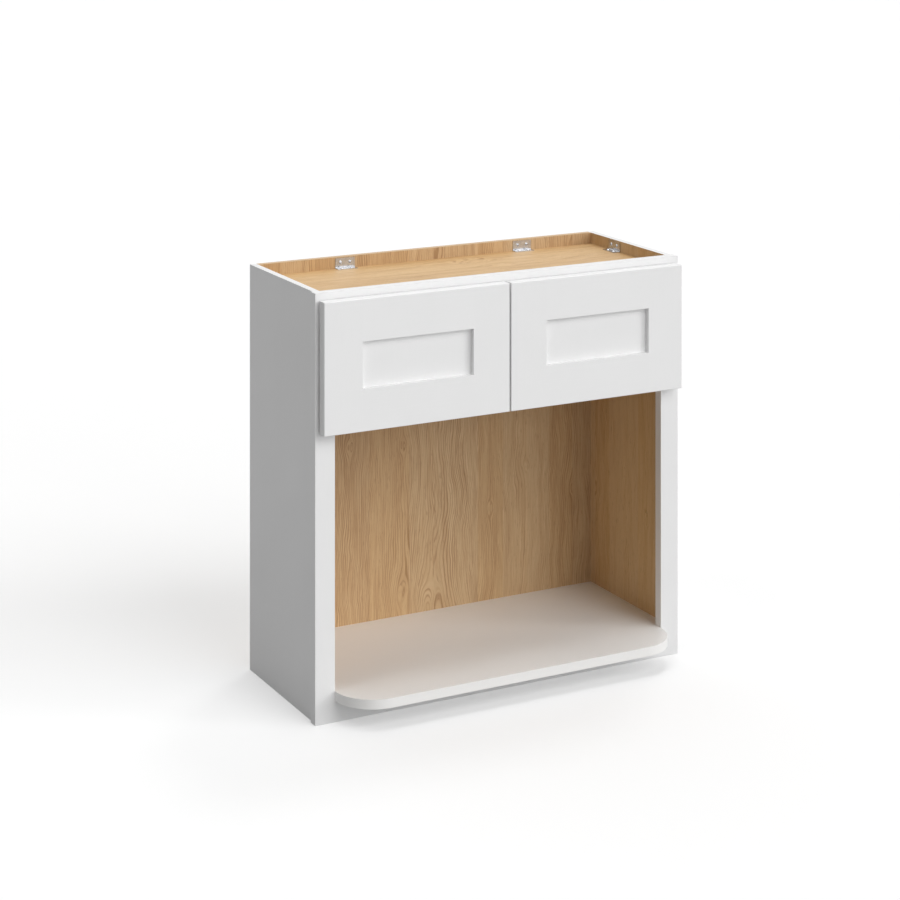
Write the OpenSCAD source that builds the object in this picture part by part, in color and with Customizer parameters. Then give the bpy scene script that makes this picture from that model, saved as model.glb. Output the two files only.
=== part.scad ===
// Framed wall cabinet for a microwave: a two-door cupboard over an open bay,
// with a bottom shelf that reaches forward and has quarter-round front corners.
// Millimetres, +Z up, the front faces -Y, X is centred.
// The origin is at the centre of the base of the whole cabinet, shelf included.

/* [Cabinet] */
// Width over the face frame
cab_w = 762; // [700:0.1:914.4]
// Height
cab_h = 762; // [700:0.1:1066.8]
// Depth from the face frame's front to the wall
cab_d = 304.8; // [290:0.1:400]

/* [Carcass boards] */
// Thickness of the side panels
side_t = 12.7; // [10.5:0.1:19]
// Thickness of the back panel
back_t = 12.7; // [10.5:0.1:19]
// Thickness of the top panel
top_t = 12.7; // [11:0.1:16]
// Thickness of the cupboard's floor
floor_t = 12.7; // [9:0.1:15]
// How far the top panel's upper face lies below the top edge
top_recess = 22; // [20.5:0.1:25]
// How far the cupboard floor's upper face lies below the top of the middle rail
floor_drop = 3.4; // [0:0.1:10]
// Depth of the housings in the side panels that hold the boards' ends
housing_d = 6.3; // [3:0.1:8]

/* [Microwave shelf] */
// Thickness of the shelf
shelf_t = 17; // [15:0.1:25]
// Thickness of the tongues on the shelf's ends
shelf_tongue_t = 12; // [8:0.1:13]
// How far the shelf reaches in front of the face frame
shelf_reach = 76.2; // [30:0.1:120]

/* [Face frame] */
// Thickness of the face frame
frame_t = 19.05; // [18:0.05:25]
// Width of the stiles
stile_w = 38.1; // [35:0.1:38.8]
// Height of the top rail
top_rail_h = 38.1; // [35:0.1:50]
// Height of the middle rail
mid_rail_h = 38.1; // [30:0.1:44]
// Height of the bottom rail
bottom_rail_h = 38.1; // [35:0.1:50]
// How far the stiles stand out past the side panels
frame_lip = 3.8; // [1:0.1:8]
// Depth of the groove in the stiles' back that holds the side panels
frame_groove_d = 6.35; // [3:0.05:8]
// Length of the rails' tenons
tenon_l = 12; // [8:0.1:15]
// Thickness of the rails' tenons
tenon_t = 5; // [4:0.1:5.5]
// Shoulder above and below each tenon
tenon_shoulder = 6; // [4:0.1:10]

/* [Doors] */
// Height of the doors
door_h = 234.95; // [205:0.05:400]
// Thickness of the door frames
door_t = 20; // [19:0.1:24]
// Gap between the closed doors and the face frame
door_gap = 4.2; // [4:0.1:6]
// Face frame left in view beside each door
side_reveal = 6.35; // [5.6:0.05:9]
// Face frame left in view above the doors
top_reveal = 12.7; // [8:0.1:20]
// Face frame left in view below the doors
mid_reveal = 2.05; // [0:0.05:6]
// Gap between the two doors
door_split = 3.2; // [2:0.1:6]
// Width of the door stiles
door_stile_w = 75; // [60:0.1:90]
// Width of the door rails
door_rail_w = 75.4; // [50:0.1:90]
// Depth of the panel's face behind the front of the door
panel_recess = 10; // [9:0.1:12]
// Thickness of the door's flat panel
panel_t = 6; // [4:0.1:6.5]
// Depth of the groove that holds the panel and the rail tenons
groove_d = 10; // [6:0.1:14]
// Room left for the panel at the bottom of the groove
panel_play = 1; // [0.3:0.1:3]
// Flat planed on the door's front edges
edge_ease = 0.8; // [0.3:0.1:2]

/* [Door hinges] */
// Distance from the door's ends to the middle of a hinge
hinge_inset = 68; // [62:0.1:75]
// Radius of the hole bored in the door for the cup
cup_bore_r = 17.5; // [17.3:0.05:17.8]
// Depth of the hole bored in the door for the cup
cup_bore_d = 12.6; // [12.4:0.1:13.5]
// Clearance of the cup in its hole
cup_play = 0.1; // [0.05:0.05:0.2]
// Wood left between the cup's hole and the door's edge
cup_edge = 3; // [2.7:0.1:3.2]
// Sheet thickness of the cup
cup_wall = 0.8; // [0.5:0.05:1]
// Thickness of the cup's flange
flange_t = 1.2; // [0.8:0.1:1.6]
// Width of the cup's flange across the door
flange_w = 38; // [36:0.1:39]
// Length of the cup's flange along the door
flange_l = 60; // [58:0.1:70]
// Distance between the two screws of the cup
cup_screw_span = 48; // [46:0.1:49]
// Distance of the cup's screws beyond the cup's centre
cup_screw_offset = 9.5; // [8:0.1:10]
// Distance from the door's edge to the pin's axis
pin_edge = 8.2; // [8:0.05:8.6]
// Distance from the door's back to the pin's axis
pin_depth = 8; // [7.5:0.05:8.1]
// Radius of the hinge pin
pin_r = 1.9; // [1.5:0.05:2.1]
// Radial clearance of the pin in the arm's knuckle
pin_play = 0.05; // [0.02:0.01:0.1]
// Wall of the arm's knuckle round the pin
knuckle_wall = 1.2; // [1:0.05:1.3]
// Sheet thickness of the arm
arm_t = 1.8; // [1.2:0.1:2.5]
// Width of the arm
arm_w = 8; // [6:0.1:8.6]
// Sheet thickness of the cup's two ears
ear_t = 1.8; // [1:0.1:2]
// Gap between the arm and each ear
ear_play = 0.5; // [0.3:0.1:0.8]
// Thickness of the mounting plate
plate_t = 1.8; // [1.2:0.1:2.5]
// Length of the mounting plate
plate_l = 50; // [46:0.1:56]
// Width of the mounting plate
plate_w = 16; // [13:0.1:17]
// Distance between the mounting plate's two outer screws
plate_screw_span = 34; // [30:0.1:38]

/* [Corner brackets] */
// Length of a bracket along the corner
bracket_l = 41; // [34:0.1:60]
// Height of the leg on the upright board
bracket_up = 20; // [17:0.1:21.5]
// Width of the leg on the level board
bracket_out = 15; // [13:0.1:25]
// Sheet thickness of a bracket
bracket_t = 1.5; // [1:0.1:2.5]
// Inner radius of a bracket's bend
bracket_bend_r = 1; // [0.5:0.1:2]
// Distance between the two screws of a leg
bracket_screw_span = 20; // [16:0.1:24]
// Height of the upright leg's screws above the level board
bracket_screw_up = 12; // [10:0.1:13]
// Distance of the level leg's screws from the upright board
bracket_screw_out = 9; // [8:0.1:10]
// Middle of the left back bracket, from the left edge of the face frame
back_bracket_left = 195; // [120:1:280]
// Middle of the right back bracket, from the right edge of the face frame
back_bracket_right = 178; // [120:1:280]
// Middle of the side brackets, from the face frame's front
side_bracket_in = 201; // [120:1:230]

/* [Screws and bumpers] */
// Radius of a screw head
screw_head_r = 3; // [2.5:0.1:3.3]
// Height of a screw head
screw_head_h = 2; // [1.2:0.1:2.4]
// Radius of a screw's shank
screw_shank_r = 1.6; // [1:0.1:1.8]
// Length of a screw below its head
screw_l = 11; // [8:0.1:12]
// Radial clearance of a shank in a sheet-metal hole
screw_play = 0.3; // [0.1:0.1:0.5]
// Radius of a door bumper
bumper_r = 4; // [3:0.1:5]
// Gap between a closed door's bumper and the face frame
bumper_play = 0.3; // [0.2:0.1:0.6]
// Distance of a bumper's centre from the door's edges
bumper_inset = 13; // [8:0.1:16]

/* [Hidden] */
$fn = 48;
// How far a cutting tool runs past the face that it opens
past = 1;

// Planes of the cabinet, from front to back
front_y = (shelf_reach - cab_d) / 2;
frame_back_y = front_y + frame_t;
back_y = front_y + cab_d;
back_face_y = back_y - back_t;

// Planes across the cabinet, as distances from its middle
half_w = cab_w / 2;
side_out_x = half_w - frame_lip;
side_in_x = side_out_x - side_t;
stile_in_x = half_w - stile_w;
board_end_x = side_in_x + housing_d;

// Heights
shelf_z = bottom_rail_h;
shelf_top_z = shelf_z + shelf_t;
mid_rail_z = cab_h - top_reveal - door_h - mid_reveal;
mid_rail_top_z = mid_rail_z + mid_rail_h;
floor_z = mid_rail_top_z - floor_drop - floor_t;
top_z = cab_h - top_recess - top_t;
top_face_z = cab_h - top_recess;
top_rail_z = cab_h - top_rail_h;

// The doors, the left one between door_edge_x and door_free_x
door_edge_x = -half_w + side_reveal;
door_free_x = -door_split / 2;
door_back_y = front_y - door_gap;
door_front_y = door_back_y - door_t;
door_top_z = cab_h - top_reveal;
door_z = door_top_z - door_h;
groove_y = door_front_y + panel_recess;

// The hinges, seen from the pin of a left one: +X to the door's middle, +Y to the wall
hinge_x = door_edge_x + pin_edge;
hinge_y = door_back_y - pin_depth;
hinge_heights = [door_z + hinge_inset, door_top_z - hinge_inset];
cup_x = cup_edge + cup_bore_r - pin_edge;
cup_r = cup_bore_r - cup_play;
cup_hollow_r = cup_r - cup_wall;
cup_floor_y = pin_depth - cup_bore_d + cup_play;
knuckle_r = pin_r + pin_play + knuckle_wall;
stile_edge_x = stile_w - side_reveal - pin_edge;
plate_face_x = stile_edge_x + plate_t;
frame_face_y = pin_depth + door_gap;
plate_mid_y = frame_face_y + frame_t / 2;
pin_l = arm_w + 2 * (ear_play + ear_t);

// Screw seats on the hinges and brackets
screw_hole_r = screw_shank_r + screw_play;
cup_screw_x = cup_x + cup_screw_offset;
bumper_h = door_gap - bumper_play;

// ---- Shared shapes ----

// A board between its lowest and its highest corner
module board(low, high) {
    translate(low) cube(high - low);
}

// The same piece on the cabinet's right hand
module right_hand() {
    mirror([1, 0, 0]) children();
}

// A rectangle with round corners, centred
module rounded_rect(w, h, r) {
    square([w - 2 * r, h], center = true);
    square([w, h - 2 * r], center = true);
    for (x = [-1, 1], y = [-1, 1])
        translate([x * (w / 2 - r), y * (h / 2 - r)]) circle(r);
}

// A pan-head screw: its head stands up from z = 0 and its shank goes down
module screw() {
    dome_r = (screw_head_r * screw_head_r + screw_head_h * screw_head_h) / (2 * screw_head_h);
    slot_w = 0.9;
    slot_l = 3.4;
    difference() {
        union() {
            intersection() {
                translate([0, 0, screw_head_h - dome_r]) sphere(dome_r);
                cylinder(r = screw_head_r, h = screw_head_h);
            }
            translate([0, 0, -screw_l]) cylinder(r = screw_shank_r, h = screw_l + 0.5);
        }
        for (turn = [0, 90])
            rotate([0, 0, turn]) translate([-slot_l / 2, -slot_w / 2, screw_head_h / 2])
                cube([slot_l, slot_w, screw_head_h]);
    }
}

// The hole that a screw's shank fills in wood, down from z = 0
module pilot_hole() {
    translate([0, 0, -screw_l]) cylinder(r = screw_shank_r, h = screw_l + past);
}

// ---- Corner brackets ----

// Where a bracket sits: origin in the corner, X along it, Y out along the level board,
// Z up the upright board
module bracket() {
    bend = bracket_bend_r + bracket_t;
    difference() {
        rotate([90, 0, 90]) translate([0, 0, -bracket_l / 2]) linear_extrude(bracket_l) {
            difference() {
                union() {
                    translate([bend, 0]) square([bracket_out - bend, bracket_t]);
                    translate([0, bend]) square([bracket_t, bracket_up - bend]);
                    intersection() {
                        translate([bend, bend]) circle(bend);
                        square(bend);
                    }
                }
                translate([bend, bend]) circle(bracket_bend_r);
            }
        }
        bracket_screw_places() cylinder(r = screw_hole_r, h = 4 * bracket_t, center = true);
    }
}

// Puts its children on a bracket's four screw places, with +Z out of the metal
module bracket_screw_places() {
    for (x = [-1, 1] * bracket_screw_span / 2) {
        translate([x, bracket_t, bracket_screw_up]) rotate([-90, 0, 0]) children();
        translate([x, bracket_screw_out, bracket_t]) children();
    }
}

// The corner between the top panel and the back panel or a side panel
module at_top_corner(place) {
    if (place == "back_left")
        translate([back_bracket_left - half_w, back_face_y, top_face_z]) rotate([0, 0, 180]) children();
    if (place == "back_right")
        translate([half_w - back_bracket_right, back_face_y, top_face_z]) rotate([0, 0, 180]) children();
    if (place == "side_left")
        translate([-side_in_x, front_y + side_bracket_in, top_face_z]) rotate([0, 0, -90]) children();
    if (place == "side_right")
        translate([side_in_x, front_y + side_bracket_in, top_face_z]) rotate([0, 0, 90]) children();
}

// The same corner under the microwave shelf, where the brackets hang upside down
module at_bottom_corner(place) {
    translate([0, 0, shelf_z]) mirror([0, 0, 1]) translate([0, 0, -top_face_z])
        at_top_corner(place) children();
}

bracket_corners = ["back_left", "back_right", "side_left", "side_right"];

// Pilot holes for every bracket screw at the top, from the metal's outer face down
module top_bracket_pilots() {
    for (place = bracket_corners)
        at_top_corner(place) bracket_screw_places() pilot_hole();
}

// The same below the microwave shelf
module bottom_bracket_pilots() {
    for (place = bracket_corners)
        at_bottom_corner(place) bracket_screw_places() pilot_hole();
}

// ---- Carcass ----

// The left side panel: its front edge sits in the stile, and it houses three boards
module side_panel() {
    difference() {
        board([-side_out_x, frame_back_y - frame_groove_d, 0], [-side_in_x, back_y, cab_h]);
        for (housing = [[shelf_z, shelf_tongue_t], [floor_z, floor_t], [top_z, top_t]])
            board([-board_end_x, frame_back_y, housing[0]],
                  [-side_in_x + past, back_face_y, housing[0] + housing[1]]);
        top_bracket_pilots();
        bottom_bracket_pilots();
    }
}

module side_left() {
    color("gainsboro") side_panel();
}

module side_right() {
    color("gainsboro") right_hand() side_panel();
}

module back_panel() {
    color("burlywood") difference() {
        board([-side_in_x, back_face_y, 0], [side_in_x, back_y, cab_h]);
        top_bracket_pilots();
        bottom_bracket_pilots();
    }
}

module top_panel() {
    color("burlywood") difference() {
        board([-board_end_x, frame_back_y, top_z], [board_end_x, back_face_y, top_face_z]);
        top_bracket_pilots();
    }
}

module cupboard_floor() {
    color("burlywood")
        board([-board_end_x, frame_back_y, floor_z], [board_end_x, back_face_y, floor_z + floor_t]);
}

// What is cut away over the shelf's left tongue, so that its face ends at the side panel
module shelf_rebate() {
    board([-board_end_x - past, frame_back_y - past, shelf_z + shelf_tongue_t],
          [-side_in_x, back_face_y + past, shelf_top_z + past]);
}

// The shelf fills the carcass, passes between the stiles and ends in two quarter rounds
module microwave_shelf() {
    color("white") difference() {
        translate([0, 0, shelf_z]) linear_extrude(shelf_t) {
            translate([-board_end_x, frame_back_y])
                square([2 * board_end_x, back_face_y - frame_back_y]);
            translate([-stile_in_x, front_y]) square([2 * stile_in_x, frame_t + past]);
            translate([-stile_in_x + shelf_reach, front_y - shelf_reach])
                square([2 * (stile_in_x - shelf_reach), shelf_reach + past]);
            intersection() {
                for (side = [-1, 1])
                    translate([side * (stile_in_x - shelf_reach), front_y]) circle(shelf_reach, $fn = 96);
                translate([-stile_in_x, front_y - shelf_reach]) square([2 * stile_in_x, shelf_reach]);
            }
        }
        shelf_rebate();
        right_hand() shelf_rebate();
        bottom_bracket_pilots();
    }
}

// ---- Face frame ----

// One tenon on the left end of a rail that reaches from z_low to z_high
module rail_tenon(z_low, z_high) {
    tenon_y = front_y + (frame_t - frame_groove_d - tenon_t) / 2;
    board([-stile_in_x - tenon_l, tenon_y, z_low + tenon_shoulder],
          [-stile_in_x, tenon_y + tenon_t, z_high - tenon_shoulder]);
}

module frame_rail(z_low, z_high) {
    board([-stile_in_x, front_y, z_low], [stile_in_x, frame_back_y, z_high]);
    rail_tenon(z_low, z_high);
    right_hand() rail_tenon(z_low, z_high);
}

// The left stile: mortised for three rails, grooved for the side, drilled for the hinges
module frame_stile() {
    difference() {
        board([-half_w, front_y, 0], [-stile_in_x, frame_back_y, cab_h]);
        board([-side_out_x, frame_back_y - frame_groove_d, -past],
              [-side_in_x, frame_back_y + past, cab_h + past]);
        rail_tenon(0, bottom_rail_h);
        rail_tenon(mid_rail_z, mid_rail_top_z);
        rail_tenon(top_rail_z, cab_h);
        for (z = hinge_heights) at_hinge(z) plate_screw_places() pilot_hole();
    }
}

module frame_stile_left() {
    color("white") frame_stile();
}

module frame_stile_right() {
    color("white") right_hand() frame_stile();
}

module frame_rail_top() {
    color("white") frame_rail(top_rail_z, cab_h);
}

module frame_rail_middle() {
    color("white") frame_rail(mid_rail_z, mid_rail_top_z);
}

module frame_rail_bottom() {
    color("white") frame_rail(0, bottom_rail_h);
}

// ---- Doors, all drawn for the left one ----

// A square rod that a plane takes off an edge: it lies along +Z, turned by 45 degrees
module edge_rod(length) {
    side = edge_ease * sqrt(2);
    rotate([0, 0, 45]) cube([side, side, length], center = true);
}

// The front edges all round a door
module eased_edges() {
    mid_x = (door_edge_x + door_free_x) / 2;
    mid_z = (door_z + door_top_z) / 2;
    for (x = [door_edge_x, door_free_x])
        translate([x, door_front_y, mid_z]) edge_rod(door_h + 2 * past);
    for (z = [door_z, door_top_z])
        translate([mid_x, door_front_y, z]) rotate([0, 90, 0])
            edge_rod(door_free_x - door_edge_x + 2 * past);
}

// The groove for the panel, cut into a stile between two planes across the door
module stile_groove(x_low, x_high) {
    board([x_low, groove_y, door_z - past], [x_high, groove_y + panel_t, door_top_z + past]);
}

module hinge_stile() {
    difference() {
        board([door_edge_x, door_front_y, door_z],
              [door_edge_x + door_stile_w, door_back_y, door_top_z]);
        stile_groove(door_edge_x + door_stile_w - groove_d, door_edge_x + door_stile_w + past);
        eased_edges();
        for (z = hinge_heights) at_hinge(z) {
            translate([cup_x, pin_depth + past, 0]) rotate([90, 0, 0])
                cylinder(r = cup_bore_r, h = cup_bore_d + past);
            cup_screw_places() pilot_hole();
        }
    }
}

module free_stile() {
    difference() {
        board([door_free_x - door_stile_w, door_front_y, door_z],
              [door_free_x, door_back_y, door_top_z]);
        stile_groove(door_free_x - door_stile_w - past, door_free_x - door_stile_w + groove_d);
        eased_edges();
    }
}

// A door rail with stub tenons in the stiles' grooves; panel_side is +1 for a groove on top
module door_rail(z_low, z_high, panel_side) {
    x_low = door_edge_x + door_stile_w;
    x_high = door_free_x - door_stile_w;
    groove_z = panel_side > 0 ? z_high - groove_d : z_low - past;
    difference() {
        union() {
            board([x_low, door_front_y, z_low], [x_high, door_back_y, z_high]);
            board([x_low - groove_d, groove_y, z_low], [x_high + groove_d, groove_y + panel_t, z_high]);
        }
        board([x_low - groove_d - past, groove_y, groove_z],
              [x_high + groove_d + past, groove_y + panel_t, groove_z + groove_d + past]);
        eased_edges();
    }
}

module door_panel() {
    reach = groove_d - panel_play;
    board([door_edge_x + door_stile_w - reach, groove_y, door_z + door_rail_w - reach],
          [door_free_x - door_stile_w + reach, groove_y + panel_t, door_top_z - door_rail_w + reach]);
}

// Soft stops on the free stile's back, one for each rail of the face frame
module bumpers() {
    dome_r = (bumper_r * bumper_r + bumper_h * bumper_h) / (2 * bumper_h);
    for (z = [door_z + bumper_inset, door_top_z - bumper_inset])
        translate([door_free_x - bumper_inset, door_back_y, z]) rotate([-90, 0, 0])
            intersection() {
                cylinder(r = bumper_r, h = bumper_h);
                translate([0, 0, bumper_h - dome_r]) sphere(dome_r);
            }
}

module door_left_hinge_stile() {
    color("white") hinge_stile();
}

module door_left_free_stile() {
    color("white") free_stile();
}

module door_left_top_rail() {
    color("white") door_rail(door_top_z - door_rail_w, door_top_z, -1);
}

module door_left_bottom_rail() {
    color("white") door_rail(door_z, door_z + door_rail_w, 1);
}

module door_left_panel() {
    color("whitesmoke") door_panel();
}

module door_left_bumpers() {
    color("lightgray") bumpers();
}

module door_right_hinge_stile() {
    color("white") right_hand() hinge_stile();
}

module door_right_free_stile() {
    color("white") right_hand() free_stile();
}

module door_right_top_rail() {
    color("white") right_hand() door_rail(door_top_z - door_rail_w, door_top_z, -1);
}

module door_right_bottom_rail() {
    color("white") right_hand() door_rail(door_z, door_z + door_rail_w, 1);
}

module door_right_panel() {
    color("whitesmoke") right_hand() door_panel();
}

module door_right_bumpers() {
    color("lightgray") right_hand() bumpers();
}

// ---- Hinges, drawn round the pin of a left one ----

module at_hinge(z) {
    translate([hinge_x, hinge_y, z]) children();
}

// The cup: a pressed bowl in the door, with a flange on its back and two ears for the pin
module hinge_cup() {
    ear_z = arm_w / 2 + ear_play;
    difference() {
        union() {
            translate([cup_x, pin_depth, 0]) rotate([90, 0, 0])
                cylinder(r = cup_r, h = pin_depth - cup_floor_y);
            translate([cup_x, pin_depth + flange_t, 0]) rotate([90, 0, 0])
                linear_extrude(flange_t) rounded_rect(flange_w, flange_l, 6);
        }
        translate([cup_x, pin_depth + flange_t + past, 0]) rotate([90, 0, 0])
            cylinder(r = cup_hollow_r, h = pin_depth + flange_t + past - cup_floor_y - cup_wall);
        cup_screw_places() translate([0, 0, -past - flange_t])
            cylinder(r = screw_hole_r, h = flange_t + 2 * past);
    }
    for (side = [-1, 1])
        translate([0, 0, side * (ear_z + ear_t / 2) - ear_t / 2]) linear_extrude(ear_t)
            difference() {
                union() {
                    circle(knuckle_r);
                    translate([-knuckle_r, cup_floor_y + cup_wall / 2])
                        square([2 * knuckle_r, -cup_floor_y - cup_wall / 2]);
                }
                circle(pin_r);
            }
}

// Puts its children on the cup's two screw places, with +Z out of the door's back
module cup_screw_places() {
    for (side = [-1, 1])
        translate([cup_screw_x, pin_depth + flange_t, side * cup_screw_span / 2])
            rotate([-90, 0, 0]) children();
}

module hinge_pin() {
    translate([0, 0, -pin_l / 2]) cylinder(r = pin_r, h = pin_l);
}

// The arm: rolled round the pin, across inside the cup, then back along the stile's edge
module hinge_arm() {
    pad_l = arm_w + 4;
    pad_y = plate_mid_y - plate_w / 2;
    difference() {
        union() {
            translate([0, 0, -arm_w / 2]) linear_extrude(arm_w) {
                circle(knuckle_r);
                translate([0, -knuckle_r]) square([plate_face_x + arm_t, arm_t]);
                translate([plate_face_x, -knuckle_r]) square([arm_t, knuckle_r + pad_y + plate_w]);
            }
            translate([plate_face_x, pad_y, -pad_l / 2]) cube([arm_t, plate_w, pad_l]);
        }
        cylinder(r = pin_r + pin_play, h = 2 * arm_w, center = true);
        arm_screw_place() cylinder(r = screw_hole_r, h = 4 * arm_t, center = true);
    }
}

// The screw that clamps the arm to its plate
module arm_screw_place() {
    translate([plate_face_x + arm_t, plate_mid_y, 0]) rotate([0, 90, 0]) children();
}

// The plate lies on the inner edge of the face frame's stile
module hinge_plate() {
    difference() {
        translate([stile_edge_x, plate_mid_y, 0]) rotate([0, 90, 0])
            linear_extrude(plate_t) rounded_rect(plate_l, plate_w, 5);
        plate_screw_places() cylinder(r = screw_hole_r, h = 4 * (plate_t + arm_t), center = true);
    }
}

// Every screw that goes into the stile: two through the plate, one through arm and plate
module plate_screw_places() {
    for (side = [-1, 1])
        translate([plate_face_x, plate_mid_y, side * plate_screw_span / 2])
            rotate([0, 90, 0]) children();
    arm_screw_place() children();
}

module hinge_cup_left_lower() {
    color("silver") at_hinge(hinge_heights[0]) hinge_cup();
}

module hinge_cup_left_upper() {
    color("silver") at_hinge(hinge_heights[1]) hinge_cup();
}

module hinge_cup_right_lower() {
    color("silver") right_hand() at_hinge(hinge_heights[0]) hinge_cup();
}

module hinge_cup_right_upper() {
    color("silver") right_hand() at_hinge(hinge_heights[1]) hinge_cup();
}

module hinge_pin_left_lower() {
    color("darkgray") at_hinge(hinge_heights[0]) hinge_pin();
}

module hinge_pin_left_upper() {
    color("darkgray") at_hinge(hinge_heights[1]) hinge_pin();
}

module hinge_pin_right_lower() {
    color("darkgray") right_hand() at_hinge(hinge_heights[0]) hinge_pin();
}

module hinge_pin_right_upper() {
    color("darkgray") right_hand() at_hinge(hinge_heights[1]) hinge_pin();
}

module hinge_arm_left_lower() {
    color("lightsteelblue") at_hinge(hinge_heights[0]) hinge_arm();
}

module hinge_arm_left_upper() {
    color("lightsteelblue") at_hinge(hinge_heights[1]) hinge_arm();
}

module hinge_arm_right_lower() {
    color("lightsteelblue") right_hand() at_hinge(hinge_heights[0]) hinge_arm();
}

module hinge_arm_right_upper() {
    color("lightsteelblue") right_hand() at_hinge(hinge_heights[1]) hinge_arm();
}

module hinge_plate_left_lower() {
    color("silver") at_hinge(hinge_heights[0]) hinge_plate();
}

module hinge_plate_left_upper() {
    color("silver") at_hinge(hinge_heights[1]) hinge_plate();
}

module hinge_plate_right_lower() {
    color("silver") right_hand() at_hinge(hinge_heights[0]) hinge_plate();
}

module hinge_plate_right_upper() {
    color("silver") right_hand() at_hinge(hinge_heights[1]) hinge_plate();
}

module hinge_cup_screws_left() {
    color("silver") for (z = hinge_heights) at_hinge(z) cup_screw_places() screw();
}

module hinge_cup_screws_right() {
    color("silver") right_hand() for (z = hinge_heights) at_hinge(z) cup_screw_places() screw();
}

module hinge_plate_screws_left() {
    color("silver") for (z = hinge_heights) at_hinge(z) plate_screw_places() screw();
}

module hinge_plate_screws_right() {
    color("silver") right_hand() for (z = hinge_heights) at_hinge(z) plate_screw_places() screw();
}

// ---- Brackets in place ----

module bracket_top_back_left() {
    color("silver") at_top_corner("back_left") bracket();
}

module bracket_top_back_right() {
    color("silver") at_top_corner("back_right") bracket();
}

module bracket_top_side_left() {
    color("silver") at_top_corner("side_left") bracket();
}

module bracket_top_side_right() {
    color("silver") at_top_corner("side_right") bracket();
}

module bracket_bottom_back_left() {
    color("silver") at_bottom_corner("back_left") bracket();
}

module bracket_bottom_back_right() {
    color("silver") at_bottom_corner("back_right") bracket();
}

module bracket_bottom_side_left() {
    color("silver") at_bottom_corner("side_left") bracket();
}

module bracket_bottom_side_right() {
    color("silver") at_bottom_corner("side_right") bracket();
}

module bracket_screws_top() {
    color("silver") for (place = bracket_corners) at_top_corner(place) bracket_screw_places() screw();
}

module bracket_screws_bottom() {
    color("silver") for (place = bracket_corners) at_bottom_corner(place) bracket_screw_places() screw();
}

side_left();
side_right();
back_panel();
top_panel();
cupboard_floor();
microwave_shelf();
frame_stile_left();
frame_stile_right();
frame_rail_top();
frame_rail_middle();
frame_rail_bottom();
bracket_top_back_left();
bracket_top_back_right();
bracket_top_side_left();
bracket_top_side_right();
bracket_bottom_back_left();
bracket_bottom_back_right();
bracket_bottom_side_left();
bracket_bottom_side_right();
bracket_screws_top();
bracket_screws_bottom();
door_left_hinge_stile();
door_left_free_stile();
door_left_top_rail();
door_left_bottom_rail();
door_left_panel();
door_left_bumpers();
door_right_hinge_stile();
door_right_free_stile();
door_right_top_rail();
door_right_bottom_rail();
door_right_panel();
door_right_bumpers();
hinge_cup_left_lower();
hinge_cup_left_upper();
hinge_cup_right_lower();
hinge_cup_right_upper();
hinge_pin_left_lower();
hinge_pin_left_upper();
hinge_pin_right_lower();
hinge_pin_right_upper();
hinge_arm_left_lower();
hinge_arm_left_upper();
hinge_arm_right_lower();
hinge_arm_right_upper();
hinge_plate_left_lower();
hinge_plate_left_upper();
hinge_plate_right_lower();
hinge_plate_right_upper();
hinge_cup_screws_left();
hinge_cup_screws_right();
hinge_plate_screws_left();
hinge_plate_screws_right();
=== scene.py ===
import math

import bmesh
import bpy
from mathutils import Matrix, Vector

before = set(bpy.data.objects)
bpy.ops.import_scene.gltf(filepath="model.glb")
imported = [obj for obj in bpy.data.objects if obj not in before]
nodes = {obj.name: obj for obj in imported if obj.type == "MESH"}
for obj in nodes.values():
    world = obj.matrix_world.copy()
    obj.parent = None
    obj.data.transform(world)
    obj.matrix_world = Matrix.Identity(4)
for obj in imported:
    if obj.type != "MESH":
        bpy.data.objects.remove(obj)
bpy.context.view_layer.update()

scene = bpy.context.scene

MM_PER_METRE = 1000
WHITE = (1, 1, 1, 1)


# ---- How a finish is written ----

class Shade:
    """A number, colour or direction that a finish has at each point: one socket, with arithmetic."""

    def __init__(self, finish, socket):
        self.finish = finish
        self.socket = socket

    def __add__(self, other):
        return self.finish.maths("ADD", self, other)

    def __sub__(self, other):
        return self.finish.maths("SUBTRACT", self, other)

    def __rsub__(self, other):
        return self.finish.maths("SUBTRACT", other, self)

    def __mul__(self, other):
        return self.finish.maths("MULTIPLY", self, other)

    def __truediv__(self, other):
        return self.finish.maths("DIVIDE", self, other)

    def __rtruediv__(self, other):
        return self.finish.maths("DIVIDE", other, self)

    def __pow__(self, other):
        return self.finish.maths("POWER", self, other)

    def __gt__(self, other):
        return self.finish.maths("GREATER_THAN", self, other)

    __radd__ = __add__
    __rmul__ = __mul__


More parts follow.
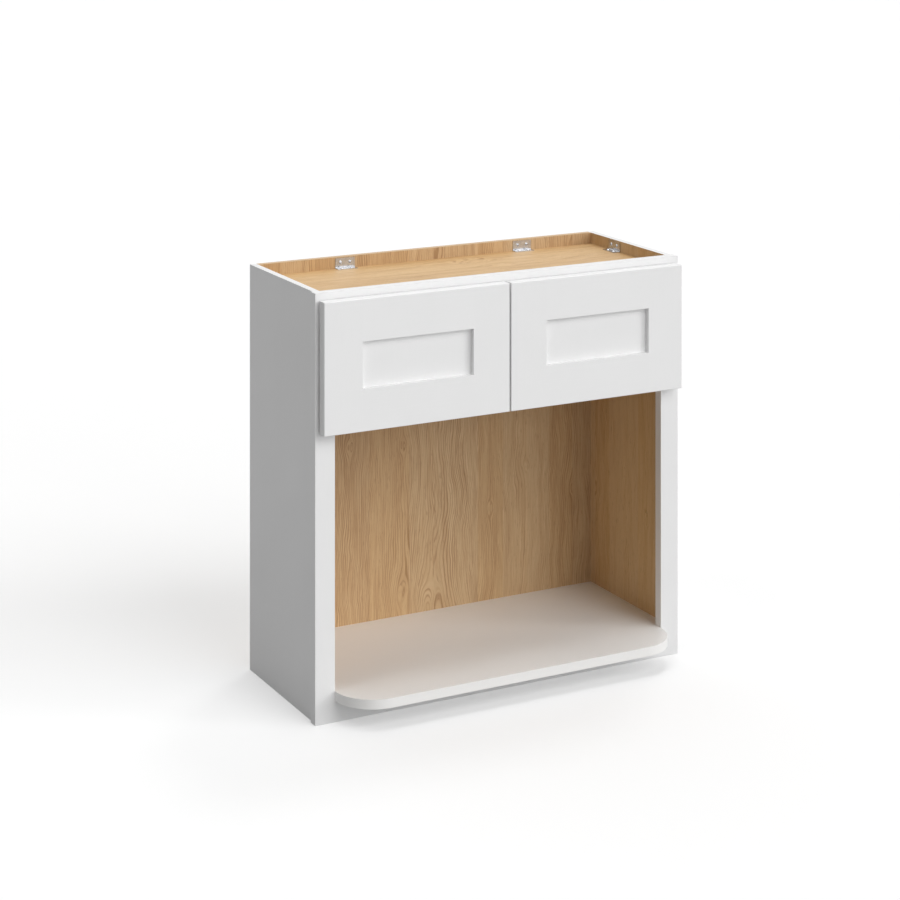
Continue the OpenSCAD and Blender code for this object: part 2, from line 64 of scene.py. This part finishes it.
class Finish:
    """A material, or the sky, written as nodes. Lengths in it are millimetres of the cabinet."""

    def __init__(self, name, owner=None):
        self.owner = owner or bpy.data.materials.new(name)
        self.owner.use_nodes = True
        self.tree = self.owner.node_tree
        self.tree.nodes.clear()

    def node(self, kind, settings=None, inputs=None, output=0):
        """One node: its type, its settings, then the values or links of its sockets.

        A ramp's stops run into each other, and its steps don't. Output is the value that it gives.
        """
        made = self.tree.nodes.new("ShaderNode" + kind)
        for name, value in (settings or {}).items():
            if name in ("stops", "steps"):
                made.color_ramp.interpolation = "LINEAR" if name == "stops" else "CONSTANT"
                self.set_stops(made.color_ramp, value)
            else:
                setattr(made, name, value)
        for name, value in (inputs or {}).items():
            if isinstance(value, Shade):
                self.tree.links.new(value.socket, made.inputs[name])
            else:
                made.inputs[name].default_value = value
        return Shade(self, made.outputs[output]) if made.outputs else None

    def parts(self, kind, settings=None, inputs=None):
        """One node, as all the values that it gives."""
        made = self.node(kind, settings, inputs).socket.node
        return [Shade(self, out) for out in made.outputs]

    def set_stops(self, ramp, stops):
        """Gives a ramp, which comes with a stop at each end, its places and colours in rising order."""
        for position, tint in stops[1:-1]:
            ramp.elements.new(position).color = tint
        for end in (0, -1):
            ramp.elements[end].position, ramp.elements[end].color = stops[end]

    def maths(self, operation, first, second=0.0):
        return self.node("Math", {"operation": operation}, {0: first, 1: second})

    def place(self):
        """Where the point is in the cabinet at rest, in millimetres, as X, Y and Z."""
        at = self.node("TexCoord", output="Object")
        return [axis * MM_PER_METRE for axis in self.parts("SeparateXYZ", inputs={0: at})]

    def facing(self):
        """Which way the surface faces in the cabinet at rest, as X, Y and Z."""
        way = self.node("TexCoord", output="Normal")
        return self.parts("SeparateXYZ", inputs={0: way})

    def clouds(self, x, y, z, detail, roughness=0.5):
        """Smooth noise from 0 to 1 whose lumps are about one unit across. Detail adds finer layers."""
        at = self.node("CombineXYZ", inputs={0: x, 1: y, 2: z})
        return self.node("TexNoise", inputs={
            "Vector": at, "Scale": 1.0, "Detail": detail, "Roughness": roughness})

    def ramp(self, value, stops):
        return self.node("ValToRGB", {"stops": stops}, {0: value})

    def between(self, value, low, high, to_low=0.0, to_high=1.0):
        """Value from low to high, spread with soft ends from to_low to to_high."""
        return self.node("MapRange", {"interpolation_type": "SMOOTHSTEP"}, {
            0: value, 1: low, 2: high, 3: to_low, 4: to_high})

    def grey(self, value):
        return self.node("CombineColor", inputs={0: value, 1: value, 2: value})

    def blend(self, share, first, second, how="MIX"):
        """Two colours, mixed by a share from 0 to 1. A Mix node takes colours at its sockets 6 and 7."""
        return self.node("Mix", {"data_type": "RGBA", "blend_type": how},
                         {0: share, 6: first, 7: second}, output=2)

    def blend_ways(self, share, first, second):
        """Two directions, mixed by a share from 0 to 1. A Mix node takes them at its sockets 4 and 5."""
        return self.node("Mix", {"data_type": "VECTOR"}, {0: share, 4: first, 5: second}, output=1)

    def relief(self, height, millimetres):
        return self.node("Bump", inputs={
            "Height": height, "Distance": millimetres / MM_PER_METRE, "Strength": 1.0})

    def surface(self, **values):
        """The finished material, from the values of the shader's sockets."""
        self.cover(self.node("BsdfPrincipled", inputs={
            name.replace("_", " "): value for name, value in values.items()}))
        return self.owner

    def cover(self, shader, kind="Material"):
        self.node("Output" + kind, inputs={"Surface": shader})


def colour(red, green, blue):
    """A colour as it is seen on a screen, 0 to 255, for a shader."""
    def linear(seen):
        seen = seen / 255
        return seen / 12.92 if seen <= 0.04045 else ((seen + 0.055) / 1.055) ** 2.4
    return (linear(red), linear(green), linear(blue), 1.0)


def darker(tint, share):
    """A tint with only a share of its light."""
    return tuple(share * value for value in tint[:3]) + (1.0,)


# ---- Paint ----

PAINT = colour(235, 235, 235)
SHELF_PAINT = colour(241, 240, 238)

# How far the paint's shade follows its noise: from 0.993 where that is 0.3 to 1 where it is 0.7
FAINT = (0.3, 0.7, 0.993, 1.0)


def satin_paint(finish, along, across, through, tint=PAINT):
    """Sprayed satin paint over a grain that runs one way: its colour, roughness and relief."""
    grain = finish.clouds(across / 2.2, along / 60, through / 2.2, detail=3)
    spray = finish.clouds(along / 1.6, across / 1.6, through / 1.6, detail=1)
    lie = finish.clouds(along / 90, across / 90, through / 90, detail=2)
    shade = finish.between(grain, *FAINT) * finish.between(lie, *FAINT)
    tone = finish.blend(1.0, tint, finish.grey(shade), "MULTIPLY")
    height = grain * 0.6 + spray * 0.4
    rough = finish.between(lie + spray * 0.3, 0.35, 0.95, 0.36, 0.46)
    return tone, rough, finish.relief(height, 0.006)


def paint(name, grain, tint=PAINT):
    """Paint on a piece whose grain runs along X or Z."""
    finish = Finish(name)
    x, y, z = finish.place()
    along, across = {"X": (x, z), "Z": (z, x)}[grain]
    tone, rough, normal = satin_paint(finish, along, across, y, tint)
    return finish.surface(Base_Color=tone, Roughness=rough, Normal=normal)


# ---- Oak ----

OAK = [
    (0.0, colour(160, 124, 82)),
    (0.35, colour(186, 152, 109)),
    (0.7, colour(203, 173, 130)),
    (1.0, colour(213, 186, 146)),
]
PORE = colour(132, 96, 62)

# What the colour of an orange plank and of a beige one is multiplied by
ORANGE = (1.05, 0.985, 0.86, 1.0)
BEIGE = (0.98, 1.0, 1.08, 1.0)

# The sheet that every board is cut from: its width, and where each plank starts across it, both in
# millimetres, then how light and how orange the plank is, where across the sheet the heart of its
# tree lay, and how bold its figure is
SHEET = 760
PLANKS = [
    (0, 0.45, 0.5, 420, 0.5),
    (58, 0.58, 0.3, 440, 0.5),
    (116, 0.40, 0.6, 500, 0.6),
    (174, 0.44, 0.25, 60, 1.0),
    (245, 0.50, 0.45, 350, 0.65),
    (332, 0.60, 0.2, 640, 0.75),
    (383, 0.61, 0.15, 378, 0.85),
    (481, 0.50, 0.45, 250, 0.65),
    (538, 0.60, 0.2, 620, 0.4),
    (595, 0.60, 0.1, 180, 0.45),
    # painted shade: the last two planks are made darker, for the shade at the back panel's right end in the
    # bay
    (646, 0.41, 0.25, 720, 0.65),
    (700, 0.39, 0.0, 300, 0.5),
]

# Knots: how far across the sheet, how far along the board and how large, in millimetres
KNOTS = [
    (384, 62, 26),
    (335, 100, 12),
    (320, 384, 9),
    (206, 395, 8),
    (505, 235, 9),
    (586, 308, 8),
    (693, 250, 10),
]
KNOT_SLENDER = 0.45  # a knot's reach across the grain, as a share of its reach along it
KNOT_SOFT = 0.4      # how gently the grain turns round a knot

# In millimetres
RING = 3.6         # one year's ring
TREE = 5300        # how far up its tree a plank was cut, for a lightness of 1
LEAST_DEPTH = -30  # the least that the saw was past the heart, and how much that changes
DEPTH_RANGE = 110
PLY = 1.8          # one ply of a board's edge


def plank_at(finish, share):
    """The plank at a share of the sheet's width: how light, how orange, its heart and how bold."""
    steps = [(start / SHEET, (light, orange, heart / SHEET, bold))
             for start, light, orange, heart, bold in PLANKS]
    plank, bold = finish.parts("ValToRGB", {"steps": steps}, {0: share})
    light, orange, heart = finish.parts("SeparateColor", inputs={0: plank})
    return light, orange, heart, bold


def round_knots(swing, along):
    """The grain's place across the sheet, parted so that it runs round each knot."""
    for knot_across, knot_along, size in KNOTS:
        aside = swing - knot_across
        up = (along - knot_along) * KNOT_SLENDER
        swing = swing - aside * (size ** 2 / (aside * aside + up * up + size ** 2 * KNOT_SOFT))
    return swing


def late_wood(finish, swing, length, heart, cut):
    """The dark side of each ring about the heart, which the saw passed at a slowly changing depth."""
    aside = swing - heart * SHEET
    depth = finish.clouds(length / 520, heart * 60, cut, detail=1) * DEPTH_RANGE + LEAST_DEPTH
    radius = (aside * aside + depth * depth) ** 0.5
    years = finish.clouds(swing / 45, length / 600, heart * 20, detail=1) * 3
    ring = finish.maths("FRACT", radius / RING + years)
    late = finish.between(ring, 0.45, 0.86) * finish.between(ring, 0.86, 1.0, 1.0, 0.0)

    # rings fade here and there, from one year to another, and close to the heart
    good_year = finish.clouds(radius / RING * 0.8, length / 400, heart * 3, detail=1)
    good_place = finish.clouds(swing / 26, length / 150, heart * 9, detail=2)
    strength = finish.between(good_place, 0.4, 0.68, 0.4, 1.0)
    strength = strength * finish.between(good_year, 0.35, 0.62, 0.4, 1.0)
    strength = strength * finish.between(radius, 2, 22, 0.35, 1.0)
    return late * strength


def oak_veneer(finish, along, across, cut, lighter, warmer):
    """Oak planks laid side by side: their colour, roughness and relief.

    Cut is the place across the sheet that comes to the cabinet's middle, in millimetres. Lighter and
    warmer are added to all the planks.
    """
    share = finish.maths("FRACT", (across + cut) / SHEET)
    light, orange, heart, bold = plank_at(finish, share)
    sheet = share * SHEET
    length = along + light * TREE + cut
    orange = orange + warmer

    # the grain sways with the tree's own bends; its heart sets each plank's noise apart
    slow = finish.clouds(sheet / 110, length / 230, heart * 40, detail=1) - 0.5
    quick = finish.clouds(sheet / 34, length / 75, heart * 40, detail=2) - 0.5
    swing = round_knots(sheet + slow * 44 + quick * 13, along)

    late = late_wood(finish, swing, length, heart, cut)
    fibre = finish.clouds(swing / 2.4, length / 65, heart * 7, detail=3, roughness=0.6)
    streak = finish.clouds(swing / 11, length / 250, heart * 5, detail=2)
    pores = finish.between(finish.clouds(swing / 1.3, length / 15, heart * 3, detail=1), 0.6, 0.74)

    figure = (fibre - 0.5) * (bold * 0.6 + 0.4) - late * bold * 1.1
    tone = light * 0.85 + figure + (streak - 0.5) * 0.5 + (lighter + 0.04)
    face = finish.ramp(tone, OAK)
    face = finish.blend(1.0, face, finish.blend(orange, BEIGE, ORANGE), "MULTIPLY")
    face = finish.blend(pores * 0.3, face, PORE)
    rough = finish.between(fibre - pores * 0.2, 0.2, 0.8, 0.56, 0.44)
    return face, rough, finish.relief(fibre * 0.35 - pores * 0.65, 0.05)


def ply_edge(finish, through, along, seed):
    """The edge of a board of thin plies, each a little lighter or darker than the next."""
    ply = finish.maths("PINGPONG", through / PLY + 0.2, 1.0)
    fleck = finish.clouds(along / 1.4, through / 0.5, seed, detail=2)
    return finish.ramp(ply * 0.3 + fleck * 0.7, [
        (0.1, colour(176, 142, 100)), (0.5, colour(197, 165, 124)), (0.9, colour(210, 182, 143))])


def oak_board(name, grain, cut, lighter=0.0, warmer=0.0):
    """A board, upright or level, with oak veneer on its two faces and plies on its edges."""
    finish = Finish(name)
    x, y, z = finish.place()
    facing = finish.facing()
    along, across, through, flat = {
        "upright": (z, x, y, facing[1]), "level": (x, y, z, facing[2])}[grain]
    face, rough, normal = oak_veneer(finish, along, across, cut, lighter, warmer)
    is_face = finish.maths("ABSOLUTE", flat) > 0.5
    tone = finish.blend(is_face, ply_edge(finish, through, x, cut), face)
    return finish.surface(Base_Color=tone, Roughness=rough, Normal=normal)


def side_board(name, hand, cut, lighter=0.0, warmer=0.0):
    """The left side, hand -1, or the right side, hand 1: oak on its inward face, white elsewhere."""
    finish = Finish(name)
    x, y, z = finish.place()
    inward = (finish.facing()[0] * -hand) > 0.5
    oak, oak_rough, oak_relief = oak_veneer(finish, z, y, cut, lighter, warmer)
    white, white_rough, white_relief = satin_paint(finish, z, y, x)
    tone = finish.blend(inward, white, oak)
    rough = white_rough + (oak_rough - white_rough) * inward
    normal = finish.blend_ways(inward, white_relief, oak_relief)
    return finish.surface(Base_Color=tone, Roughness=rough, Normal=normal)


# ---- Metal and plastic ----

def plated(name, tint, rough):
    """Plated steel with the faint mottle of its bath and fine handling marks."""
    finish = Finish(name)
    x, y, z = finish.place()
    bath = finish.clouds(x / 6, y / 6, z / 6, detail=3)
    rubs = finish.clouds(x / 0.7, y / 9, z / 0.7, detail=2)
    return finish.surface(
        Base_Color=finish.blend(finish.between(bath, 0.3, 0.7), tint, darker(tint, 0.86)), Metallic=1.0,
        Roughness=finish.between(bath * 0.6 + rubs * 0.4, 0.3, 0.7, rough, rough + 0.06),
        Normal=finish.relief(rubs * 0.5 + bath * 0.5, 0.02))


def soft_plastic(name, tint):
    """The slightly hazy plastic of a door's soft stops."""
    finish = Finish(name)
    x, y, z = finish.place()
    haze = finish.clouds(x / 1.5, y / 1.5, z / 1.5, detail=2)
    return finish.surface(
        Base_Color=finish.blend(haze, tint, darker(tint, 0.9)),
        Roughness=finish.between(haze, 0.3, 0.7, 0.3, 0.42),
        Normal=finish.relief(haze, 0.02))


# ---- Which piece has which finish ----

def dress(material, *names):
    """Gives a finish, in place of an earlier one, to every node whose name starts with one of these."""
    for name, node in nodes.items():
        if name.startswith(names):
            node.data.materials.clear()
            node.data.materials.append(material)


dress(paint("painted_upright_grain", "Z"),
      "frame_stile", "door_left_hinge", "door_left_free", "door_left_panel",
      "door_right_hinge", "door_right_free", "door_right_panel")
dress(paint("painted_level_grain", "X"),
      "frame_rail", "door_left_top", "door_left_bottom", "door_right_top", "door_right_bottom")
dress(paint("painted_shelf", "X", SHELF_PAINT), "microwave_shelf")
dress(side_board("left_side_board", -1, 310), "side_left")
# painted light: the right side's oak is made lighter and warmer than the left side's, for the light on its
# inward face
dress(side_board("right_side_board", 1, 540, lighter=0.4, warmer=0.4), "side_right")
dress(oak_board("back_oak", "upright", 380), "back_panel")
# painted light: the top board's oak is made lighter and warmer than the other boards', for the light that
# falls on it from above
dress(oak_board("top_oak", "level", 260, lighter=0.17, warmer=1.0), "top_panel")
dress(oak_board("floor_oak", "level", 660), "cupboard_floor")
dress(plated("zinc_plate", colour(193, 194, 197), 0.18), "bracket")
dress(plated("nickel_plate", colour(222, 219, 214), 0.2), "hinge")
dress(plated("pin_steel", colour(190, 190, 190), 0.3), "hinge_pin")
dress(soft_plastic("clear_bumper", colour(226, 226, 222)), "door_left_bumpers", "door_right_bumpers")


# ---- Floor and sky ----

FLOOR_HALF = 60       # half the floor's width, in metres
FLOOR_BELOW = 0.0003  # how far it lies below the cabinet, in metres
FLOOR_IN_LIGHT = colour(160, 160, 160)
FLOOR_AS_SEEN = colour(215, 215, 215)
FLOOR_GLOW = 0.327
SKY_LEVEL = 0.15


def seen_directly(finish):
    """1 where the camera looks, straight, by a mirror or through glass, 0 for light on the cabinet."""
    kinds = ("Camera", "Glossy", "Transmission")
    straight, mirrored, through = [finish.node("LightPath", output="Is " + kind + " Ray") for kind in kinds]
    return finish.maths("MAXIMUM", finish.maths("MAXIMUM", straight, mirrored), through)


def studio_floor():
    """A floor just under the cabinet that looks white, keeps the shadow and throws back little light."""
    corners = ((-1, -1), (1, -1), (1, 1), (-1, 1))
    mesh = bpy.data.meshes.new("studio_floor")
    shape = bmesh.new()
    shape.faces.new([shape.verts.new((x * FLOOR_HALF, y * FLOOR_HALF, -FLOOR_BELOW)) for x, y in corners])
    shape.to_mesh(mesh)
    shape.free()
    floor = bpy.data.objects.new("studio_floor", mesh)
    scene.collection.objects.link(floor)
    finish = Finish("studio_floor")
    in_light = finish.node("BsdfDiffuse", inputs={"Color": FLOOR_IN_LIGHT})
    seen = finish.node("BsdfDiffuse", inputs={"Color": FLOOR_AS_SEEN})
    glow = finish.node("Emission", inputs={"Color": WHITE, "Strength": FLOOR_GLOW})
    seen = finish.node("AddShader", inputs={0: seen, 1: glow})
    finish.cover(finish.node("MixShader", inputs={0: seen_directly(finish), 1: in_light, 2: seen}))
    mesh.materials.append(finish.owner)


def studio_sky():
    """A sky that is white to look at and lights the cabinet only a little."""
    finish = Finish("studio_sky", owner=bpy.data.worlds.new("studio_sky"))
    scene.world = finish.owner
    dim = finish.node("Background", inputs={"Color": WHITE, "Strength": SKY_LEVEL})
    white = finish.node("Background", inputs={"Color": WHITE, "Strength": 1.0})
    finish.cover(finish.node("MixShader", inputs={0: seen_directly(finish), 1: dim, 2: white}), "World")


# ---- Lamps ----

# Each lamp: degrees round from the front towards the cabinet's right, degrees up, what it adds to a
# white face that is square to it, and how many degrees of the sky it spreads over
LAMPS = {
    "key_lamp": (54, 20, 0.085, 13),
    "key_softener": (48, 22, 0.305, 35),
    "front_lamp": (15, 45, 0.25, 30),
    "low_front_lamp": (10, 8, 0.13, 30),
    "low_front_softener": (0, 4, 0.195, 60),
    "top_lamp": (0, 90, 0.19, 17),
    "rear_softener": (180, 52, 0.165, 60),
    "rear_lamp": (128, 62, 0.11, 13),
    "left_lamp": (-75, 60, 0.075, 13),
    "left_softener": (-80, 15, 0.025, 50),
}


def lamp(name, round_from_front, height, level, spread):
    """A far soft lamp."""
    data = bpy.data.lights.new(name, "SUN")
    data.energy = level * math.pi
    data.angle = math.radians(spread)
    turn, rise = math.radians(round_from_front), math.radians(height)
    towards = Vector((math.sin(turn) * math.cos(rise), -math.cos(turn) * math.cos(rise), math.sin(rise)))
    light = bpy.data.objects.new(name, data)
    light.rotation_mode = "QUATERNION"
    light.rotation_quaternion = towards.to_track_quat("Z", "Y")
    scene.collection.objects.link(light)


# ---- Camera ----

PICTURE_PIXELS = 900    # the picture's width
FOCAL_PIXELS = 2292.82  # the focal length
DROP_PIXELS = 625.28    # how far the picture's middle lies below the level line of sight
FILM_MM = 36
CAMERA_TURN = 27.833    # degrees to the right of straight at the cabinet's front
CAMERA_PLACE = (-2.05738, -3.79787, 1.58848)
CAMERA_REACH = (0.1, 200)  # the nearest and farthest that it sees


def view_camera():
    """A camera that looks down while its film stays upright, so that upright edges stay parallel.

    It hangs from its stand by a slanted frame, whose third axis points back along the view and whose
    second points straight up. The lens needs no shift for that.
    """
    turn = math.radians(CAMERA_TURN)
    drop = math.atan(DROP_PIXELS / FOCAL_PIXELS)
    away = Vector((math.sin(turn), math.cos(turn), 0))
    right = Vector((math.cos(turn), -math.sin(turn), 0))
    up = Vector((0, 0, 1))
    back = up * math.sin(drop) - away * math.cos(drop)
    data = bpy.data.cameras.new("camera")
    data.sensor_width = FILM_MM
    data.lens = FILM_MM * FOCAL_PIXELS / math.cos(drop) / PICTURE_PIXELS
    data.clip_start, data.clip_end = CAMERA_REACH
    camera = bpy.data.objects.new("camera", data)
    stand = bpy.data.objects.new("camera_stand", None)
    for piece in (stand, camera):
        scene.collection.objects.link(piece)
    camera.parent = stand
    slant = Matrix((right, up, back)).transposed().to_4x4()
    camera.matrix_parent_inverse = Matrix.Translation(CAMERA_PLACE) @ slant
    scene.camera = camera


studio_floor()
studio_sky()
for name, row in LAMPS.items():
    lamp(name, *row)
view_camera()
scene.view_settings.view_transform = "Standard"
